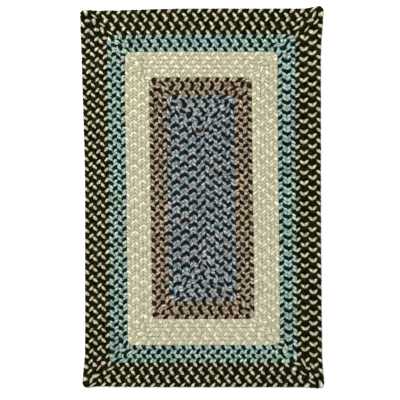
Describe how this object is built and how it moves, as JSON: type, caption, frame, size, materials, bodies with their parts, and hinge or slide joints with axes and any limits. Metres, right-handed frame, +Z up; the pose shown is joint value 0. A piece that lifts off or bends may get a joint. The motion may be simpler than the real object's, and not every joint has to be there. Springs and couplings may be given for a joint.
{
  "type": "braided rug",
  "caption": "Flat rectangular floor rug of plaited braid sewn in rounds, with a blue-grey centre and brown, cream, teal and cream-flecked dark bands.",
  "frame": {"origin": "under the middle of the rug's bounding box, on the floor", "axes": "+Y along the rug, +X across it, +Z up out of the floor"},
  "size_m": [0.945, 1.4814, 0.012],
  "materials": {
    "border_dark": "matt yarn, black-brown strands of the border",
    "border_cream": "matt yarn, cream strand of the border",
    "blue_light": "matt yarn, dyed in runs of mint and pale blue",
    "blue_teal": "matt yarn, dark teal strand",
    "cream": "matt yarn, heathered cream",
    "brown_taupe": "matt yarn, heathered taupe",
    "brown_dark": "matt yarn, dark brown strand",
    "centre_grey": "matt yarn, grey-blue tweed",
    "centre_navy": "matt yarn, navy strand"
  },
  "bodies": {
    "root": {"centre_braid": "centre_grey", "brown_braid": "brown_taupe", "cream_braid": "cream", "blue_braid": "blue_light", "border_braid": "border_dark"}
  },
  "joints": []
}
